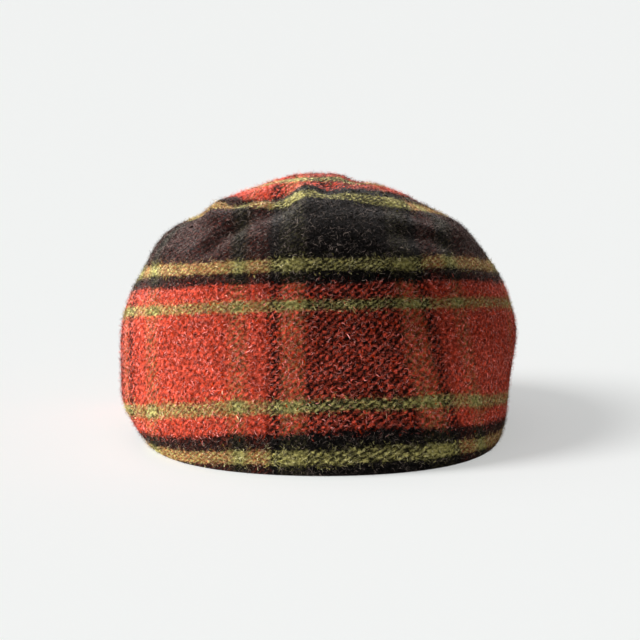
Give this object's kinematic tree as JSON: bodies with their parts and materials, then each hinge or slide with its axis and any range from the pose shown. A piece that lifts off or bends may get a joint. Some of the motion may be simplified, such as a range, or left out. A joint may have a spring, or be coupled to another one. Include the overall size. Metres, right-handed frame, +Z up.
{
  "type": "flat cap",
  "caption": "Soft wool flat cap: a hollow crown with slack folds on top slopes down onto a short curved peak, open below for the head.",
  "frame": {"origin": "on the table, under the middle of the cap's box", "axes": "+Z up, +Y forward over the peak, +X to the wearer's right"},
  "size_m": [0.1942, 0.2568, 0.1291],
  "materials": {
    "crown_cloth": "brushed wool, red, black and olive plaid",
    "peak_cloth": "brushed wool, red, black and olive plaid"
  },
  "bodies": {
    "root": {"crown": "crown_cloth", "peak": "peak_cloth"}
  },
  "joints": []
}
